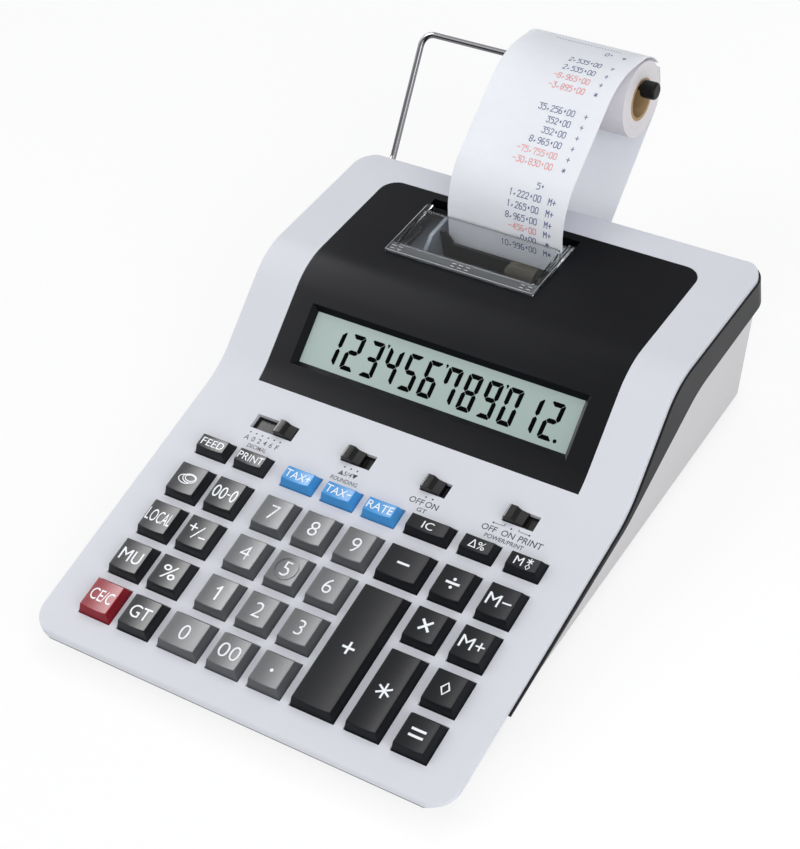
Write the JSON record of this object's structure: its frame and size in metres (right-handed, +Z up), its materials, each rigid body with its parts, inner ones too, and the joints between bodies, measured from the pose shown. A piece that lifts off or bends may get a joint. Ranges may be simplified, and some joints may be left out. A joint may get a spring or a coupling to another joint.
{
  "type": "printing calculator",
  "caption": "Desk printing calculator with a sloped key deck, raised digit display, clear paper cutter and a paper roll on a bent wire arm behind the housing.",
  "frame": {"origin": "on the table under the middle of the whole object's box, roll and strip included", "axes": "+X to the user's right, +Y to the back, where the paper roll is, +Z up from the table"},
  "size_m": [0.202, 0.3276, 0.1174],
  "materials": {
    "upper_casing": "fine satin texture",
    "lower_casing": "fine satin texture",
    "trim": "fine satin texture",
    "panel": "fine grain",
    "display_glass": "display behind a gloss surface",
    "board": "solder mask",
    "mat": "silicone",
    "chassis": "moulded",
    "platen_rubber": "ground",
    "ink_foam": "inked foam",
    "clear_plastic": "clear moulded plastic",
    "steel_wire": "bright plated",
    "steel": "plain",
    "paper": "smooth thermal-white paper",
    "core_card": "wound card",
    "feet_rubber": "matt",
    "knob": "satin",
    "dark_key": "satin",
    "black_key": "satin",
    "number_key": "satin",
    "blue_key": "satin",
    "red_key": "satin"
  },
  "bodies": {
    "calculator": {"top_casing": "upper_casing", "bottom_casing": "lower_casing", "side_trim": "trim", "display_panel": "panel", "lcd_module": "display_glass", "circuit_boards": "board", "key_mat": "mat", "printer_frame": "chassis", "wire_holder": "steel_wire", "wire_cap": "trim", "paper_strip": "paper", "rubber_feet": "feet_rubber", "case_screws": "steel"},
    "platen": {"platen_roller": "platen_rubber"},
    "carriage": {"print_carriage": "chassis"},
    "ink": {"ink_roller": "ink_foam"},
    "cutter": {"paper_cutter": "clear_plastic"},
    "roll": {"paper_roll": "paper", "roll_core": "core_card"},
    "key_feed": {"key_feed": "dark_key"},
    "key_print": {"key_print": "dark_key"},
    "key_tax_plus": {"key_tax_plus": "blue_key"},
    "key_tax_minus": {"key_tax_minus": "blue_key"},
    "key_rate": {"key_rate": "blue_key"},
    "key_item_count": {"key_item_count": "black_key"},
    "key_delta_percent": {"key_delta_percent": "black_key"},
    "key_memory_total": {"key_memory_total": "black_key"},
    "key_currency": {"key_currency": "dark_key"},
    "key_shift": {"key_shift": "dark_key"},
    "key_7": {"key_7": "number_key"},
    "key_8": {"key_8": "number_key"},
    "key_9": {"key_9": "number_key"},
    "key_minus": {"key_minus": "black_key"},
    "key_divide": {"key_divide": "black_key"},
    "key_memory_minus": {"key_memory_minus": "black_key"},
    "key_local": {"key_local": "dark_key"},
    "key_sign": {"key_sign": "dark_key"},
    "key_4": {"key_4": "number_key"},
    "key_5": {"key_5": "number_key"},
    "key_6": {"key_6": "number_key"},
    "key_plus": {"key_plus": "black_key"},
    "key_multiply": {"key_multiply": "black_key"},
    "key_memory_plus": {"key_memory_plus": "black_key"},
    "key_markup": {"key_markup": "dark_key"},
    "key_percent": {"key_percent": "dark_key"},
    "key_1": {"key_1": "number_key"},
    "key_2": {"key_2": "number_key"},
    "key_3": {"key_3": "number_key"},
    "key_total": {"key_total": "black_key"},
    "key_subtotal": {"key_subtotal": "black_key"},
    "key_clear": {"key_clear": "red_key"},
    "key_grand_total": {"key_grand_total": "dark_key"},
    "key_0": {"key_0": "number_key"},
    "key_00": {"key_00": "number_key"},
    "key_point": {"key_point": "number_key"},
    "key_equals": {"key_equals": "black_key"},
    "decimal_knob": {"decimal_knob": "knob"},
    "rounding_knob": {"rounding_knob": "knob"},
    "total_knob": {"total_knob": "knob"},
    "power_knob": {"power_knob": "knob"}
  },
  "joints": [
    {"name": "roll_turn", "type": "hinge", "parent": "calculator", "child": "roll", "pos_m": [-0.0095, 0.14617, 0.097], "axis": [1, 0, 0], "continuous": true},
    {"name": "platen_turn", "type": "hinge", "parent": "calculator", "child": "platen", "pos_m": [-0.0095, 0.07577, 0.0483], "axis": [1, 0, 0], "continuous": true},
    {"name": "carriage_slide", "type": "slide", "parent": "calculator", "child": "carriage", "axis": [1, 0, 0], "range_m": [-0.035, 0]},
    {"name": "ink_turn", "type": "hinge", "parent": "carriage", "child": "ink", "pos_m": [0.0055, 0.06177, 0.0569], "axis": [1, 0, 0], "continuous": true},
    {"name": "cutter_lift", "type": "slide", "parent": "calculator", "child": "cutter", "axis": [0, 0.0314, 0.9995], "range_m": [0, 0.015]},
    {"name": "decimal_knob_slide", "type": "slide", "parent": "calculator", "child": "decimal_knob", "axis": [1, 0, 0], "range_m": [-0.0115, 0]},
    {"name": "rounding_knob_slide", "type": "slide", "parent": "calculator", "child": "rounding_knob", "axis": [1, 0, 0], "range_m": [0, 0.0046]},
    {"name": "total_knob_slide", "type": "slide", "parent": "calculator", "child": "total_knob", "axis": [1, 0, 0], "range_m": [0, 0.0023]},
    {"name": "power_knob_slide", "type": "slide", "parent": "calculator", "child": "power_knob", "axis": [1, 0, 0], "range_m": [0, 0.0046]},
    {"name": "key_feed_press", "type": "slide", "parent": "calculator", "child": "key_feed", "axis": [0, 0.1702, -0.9854], "range_m": [0, 0.0022], "stiffness_N_per_m": 300},
    {"name": "key_print_press", "type": "slide", "parent": "calculator", "child": "key_print", "axis": [0, 0.1702, -0.9854], "range_m": [0, 0.0022], "stiffness_N_per_m": 300},
    {"name": "key_tax_plus_press", "type": "slide", "parent": "calculator", "child": "key_tax_plus", "axis": [0, 0.1702, -0.9854], "range_m": [0, 0.0022], "stiffness_N_per_m": 300},
    {"name": "key_tax_minus_press", "type": "slide", "parent": "calculator", "child": "key_tax_minus", "axis": [0, 0.1702, -0.9854], "range_m": [0, 0.0022], "stiffness_N_per_m": 300},
    {"name": "key_rate_press", "type": "slide", "parent": "calculator", "child": "key_rate", "axis": [0, 0.1702, -0.9854], "range_m": [0, 0.0022], "stiffness_N_per_m": 300},
    {"name": "key_item_count_press", "type": "slide", "parent": "calculator", "child": "key_item_count", "axis": [0, 0.1702, -0.9854], "range_m": [0, 0.0022], "stiffness_N_per_m": 300},
    {"name": "key_delta_percent_press", "type": "slide", "parent": "calculator", "child": "key_delta_percent", "axis": [0, 0.1702, -0.9854], "range_m": [0, 0.0022], "stiffness_N_per_m": 300},
    {"name": "key_memory_total_press", "type": "slide", "parent": "calculator", "child": "key_memory_total", "axis": [0, 0.1702, -0.9854], "range_m": [0, 0.0022], "stiffness_N_per_m": 300},
    {"name": "key_currency_press", "type": "slide", "parent": "calculator", "child": "key_currency", "axis": [0, 0.1702, -0.9854], "range_m": [0, 0.0022], "stiffness_N_per_m": 300},
    {"name": "key_shift_press", "type": "slide", "parent": "calculator", "child": "key_shift", "axis": [0, 0.1702, -0.9854], "range_m": [0, 0.0022], "stiffness_N_per_m": 300},
    {"name": "key_7_press", "type": "slide", "parent": "calculator", "child": "key_7", "axis": [0, 0.1702, -0.9854], "range_m": [0, 0.0022], "stiffness_N_per_m": 300},
    {"name": "key_8_press", "type": "slide", "parent": "calculator", "child": "key_8", "axis": [0, 0.1702, -0.9854], "range_m": [0, 0.0022], "stiffness_N_per_m": 300},
    {"name": "key_9_press", "type": "slide", "parent": "calculator", "child": "key_9", "axis": [0, 0.1702, -0.9854], "range_m": [0, 0.0022], "stiffness_N_per_m": 300},
    {"name": "key_minus_press", "type": "slide", "parent": "calculator", "child": "key_minus", "axis": [0, 0.1702, -0.9854], "range_m": [0, 0.0022], "stiffness_N_per_m": 300},
    {"name": "key_divide_press", "type": "slide", "parent": "calculator", "child": "key_divide", "axis": [0, 0.1702, -0.9854], "range_m": [0, 0.0022], "stiffness_N_per_m": 300},
    {"name": "key_memory_minus_press", "type": "slide", "parent": "calculator", "child": "key_memory_minus", "axis": [0, 0.1702, -0.9854], "range_m": [0, 0.0022], "stiffness_N_per_m": 300},
    {"name": "key_local_press", "type": "slide", "parent": "calculator", "child": "key_local", "axis": [0, 0.1702, -0.9854], "range_m": [0, 0.0022], "stiffness_N_per_m": 300},
    {"name": "key_sign_press", "type": "slide", "parent": "calculator", "child": "key_sign", "axis": [0, 0.1702, -0.9854], "range_m": [0, 0.0022], "stiffness_N_per_m": 300},
    {"name": "key_4_press", "type": "slide", "parent": "calculator", "child": "key_4", "axis": [0, 0.1702, -0.9854], "range_m": [0, 0.0022], "stiffness_N_per_m": 300},
    {"name": "key_5_press", "type": "slide", "parent": "calculator", "child": "key_5", "axis": [0, 0.1702, -0.9854], "range_m": [0, 0.0022], "stiffness_N_per_m": 300},
    {"name": "key_6_press", "type": "slide", "parent": "calculator", "child": "key_6", "axis": [0, 0.1702, -0.9854], "range_m": [0, 0.0022], "stiffness_N_per_m": 300},
    {"name": "key_plus_press", "type": "slide", "parent": "calculator", "child": "key_plus", "axis": [0, 0.1702, -0.9854], "range_m": [0, 0.0022], "stiffness_N_per_m": 300},
    {"name": "key_multiply_press", "type": "slide", "parent": "calculator", "child": "key_multiply", "axis": [0, 0.1702, -0.9854], "range_m": [0, 0.0022], "stiffness_N_per_m": 300},
    {"name": "key_memory_plus_press", "type": "slide", "parent": "calculator", "child": "key_memory_plus", "axis": [0, 0.1702, -0.9854], "range_m": [0, 0.0022], "stiffness_N_per_m": 300},
    {"name": "key_markup_press", "type": "slide", "parent": "calculator", "child": "key_markup", "axis": [0, 0.1702, -0.9854], "range_m": [0, 0.0022], "stiffness_N_per_m": 300},
    {"name": "key_percent_press", "type": "slide", "parent": "calculator", "child": "key_percent", "axis": [0, 0.1702, -0.9854], "range_m": [0, 0.0022], "stiffness_N_per_m": 300},
    {"name": "key_1_press", "type": "slide", "parent": "calculator", "child": "key_1", "axis": [0, 0.1702, -0.9854], "range_m": [0, 0.0022], "stiffness_N_per_m": 300},
    {"name": "key_2_press", "type": "slide", "parent": "calculator", "child": "key_2", "axis": [0, 0.1702, -0.9854], "range_m": [0, 0.0022], "stiffness_N_per_m": 300},
    {"name": "key_3_press", "type": "slide", "parent": "calculator", "child": "key_3", "axis": [0, 0.1702, -0.9854], "range_m": [0, 0.0022], "stiffness_N_per_m": 300},
    {"name": "key_total_press", "type": "slide", "parent": "calculator", "child": "key_total", "axis": [0, 0.1702, -0.9854], "range_m": [0, 0.0022], "stiffness_N_per_m": 300},
    {"name": "key_subtotal_press", "type": "slide", "parent": "calculator", "child": "key_subtotal", "axis": [0, 0.1702, -0.9854], "range_m": [0, 0.0022], "stiffness_N_per_m": 300},
    {"name": "key_clear_press", "type": "slide", "parent": "calculator", "child": "key_clear", "axis": [0, 0.1702, -0.9854], "range_m": [0, 0.0022], "stiffness_N_per_m": 300},
    {"name": "key_grand_total_press", "type": "slide", "parent": "calculator", "child": "key_grand_total", "axis": [0, 0.1702, -0.9854], "range_m": [0, 0.0022], "stiffness_N_per_m": 300},
    {"name": "key_0_press", "type": "slide", "parent": "calculator", "child": "key_0", "axis": [0, 0.1702, -0.9854], "range_m": [0, 0.0022], "stiffness_N_per_m": 300},
    {"name": "key_00_press", "type": "slide", "parent": "calculator", "child": "key_00", "axis": [0, 0.1702, -0.9854], "range_m": [0, 0.0022], "stiffness_N_per_m": 300},
    {"name": "key_point_press", "type": "slide", "parent": "calculator", "child": "key_point", "axis": [0, 0.1702, -0.9854], "range_m": [0, 0.0022], "stiffness_N_per_m": 300},
    {"name": "key_equals_press", "type": "slide", "parent": "calculator", "child": "key_equals", "axis": [0, 0.1702, -0.9854], "range_m": [0, 0.0022], "stiffness_N_per_m": 300}
  ],
  "couplings": [
    {"joint": "platen_turn", "follows": "roll_turn", "ratio": 3.4}
  ]
}
